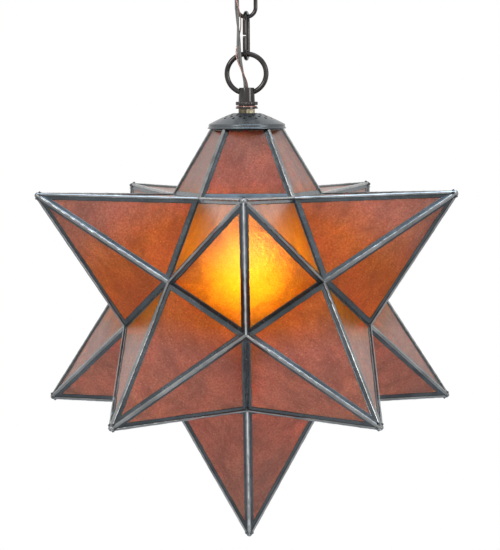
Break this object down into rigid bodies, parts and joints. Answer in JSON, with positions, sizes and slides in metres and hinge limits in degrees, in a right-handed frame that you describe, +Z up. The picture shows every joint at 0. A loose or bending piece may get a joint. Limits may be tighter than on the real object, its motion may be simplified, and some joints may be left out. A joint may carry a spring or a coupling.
{
  "type": "moravian star pendant",
  "caption": "Moravian star pendant lamp: amber mica points in dark came round a lit core, with a hinged point for the bulb, a vented cap, ring, chain and canopy.",
  "frame": {"origin": "on the ceiling plane, at the centre of the crossbar's two slots, over the middle of the canopy", "axes": "+Z up out of the ceiling plane, -Y towards the viewer in the picture, +X to the viewer's right"},
  "size_m": [0.4082, 0.4288, 0.6418],
  "materials": {
    "mica": "translucent amber mica sheet, clouded and mottled, glossy",
    "patinated_came": "dark slate patina over solder and came, satin",
    "patinated_brass": "dark patina, satin",
    "slate_cap": "dark slate patina, satin",
    "dark_bronze": "dark bronze, satin",
    "bare_brass": "dull brass",
    "zinced_steel": "zinc plated",
    "copper": "bare copper",
    "porcelain": "glazed",
    "socket_aluminium": "satin",
    "frosted_glass": "frosted",
    "glowing_filament": "filament and its stem",
    "ground_green": "green dyed screw",
    "cord_plastic": "dark brown insulation",
    "connector_plastic": "moulded wire connectors"
  },
  "bodies": {
    "ceiling": {"canopy": "slate_cap", "crossbar": "zinced_steel", "ceiling_nipple": "zinced_steel", "ceiling_lock_nut": "zinced_steel", "ground_screw": "ground_green", "canopy_loop": "dark_bronze", "wire_connectors": "connector_plastic", "supply_leads": "cord_plastic", "cord_high": "cord_plastic", "ground_wire_high": "copper"},
    "link_high": {"chain_link_high": "dark_bronze", "cord_mid": "cord_plastic", "ground_wire_mid": "copper"},
    "link_low": {"chain_link_low": "dark_bronze"},
    "lamp": {"mica_top": "mica", "came_top": "patinated_came", "mica_bottom": "mica", "came_bottom": "patinated_came", "mica_upper_front": "mica", "came_upper_front": "patinated_came", "mica_upper_right_front": "mica", "came_upper_right_front": "patinated_came", "mica_upper_left_back": "mica", "came_upper_left_back": "patinated_came", "mica_upper_left_front": "mica", "came_upper_left_front": "patinated_came", "mica_lower_back": "mica", "came_lower_back": "patinated_came", "mica_lower_left_back": "mica", "came_lower_left_back": "patinated_came", "mica_lower_left_front": "mica", "came_lower_left_front": "patinated_came", "mica_lower_right_front": "mica", "came_lower_right_front": "patinated_came", "mica_lower_right_back": "mica", "came_lower_right_back": "patinated_came", "hinge_leaf_star": "patinated_brass", "hinge_pin": "patinated_brass", "latch_post": "patinated_brass", "vented_cap": "slate_cap", "hex_nut": "bare_brass", "inner_lock_nut": "zinced_steel", "seat_washer": "dark_bronze", "lamp_nipple": "zinced_steel", "lamp_loop": "dark_bronze", "ground_wrap": "copper", "socket_cap": "bare_brass", "socket_shell": "bare_brass", "socket_body": "porcelain", "screw_shell": "socket_aluminium", "socket_leads": "cord_plastic", "cord_low": "cord_plastic", "ground_wire_low": "copper"},
    "bulb_door": {"mica_upper_right_back": "mica", "came_upper_right_back": "patinated_came", "hinge_leaf_door": "patinated_brass"},
    "latch": {"latch_tab": "patinated_brass"},
    "bulb": {"bulb_globe": "frosted_glass", "bulb_base": "socket_aluminium", "bulb_filament": "glowing_filament"}
  },
  "joints": [
    {"name": "high_link_swing", "type": "hinge", "parent": "ceiling", "child": "link_high", "pos_m": [0, 0, -0.0843], "axis": [0, 1, 0], "range_deg": [-25, 25], "deforming": ["cord_high", "ground_wire_high"]},
    {"name": "low_link_swing", "type": "hinge", "parent": "link_high", "child": "link_low", "pos_m": [0, 0, -0.1247], "axis": [1, 0, 0], "range_deg": [-25, 25], "deforming": ["cord_mid", "ground_wire_mid"]},
    {"name": "lamp_swing", "type": "hinge", "parent": "link_low", "child": "lamp", "pos_m": [0, 0, -0.1656], "axis": [0.1564, 0.9877, 0], "range_deg": [-25, 25], "deforming": ["cord_low", "ground_wire_low"]},
    {"name": "door_hinge", "type": "hinge", "parent": "lamp", "child": "bulb_door", "pos_m": [0.03817, 0.05254, -0.29718], "axis": [0.809, -0.5878, 0], "range_deg": [0, 100]},
    {"name": "latch_turn", "type": "hinge", "parent": "lamp", "child": "latch", "pos_m": [0.0436, 0.11329, -0.40933], "axis": [0.5344, 0.7015, 0.4715], "range_deg": [0, 90]},
    {"name": "bulb_turn", "type": "hinge", "parent": "lamp", "child": "bulb", "pos_m": [0, 0, -0.3104], "axis": [0, 0, -1], "range_deg": [0, 1080]}
  ]
}
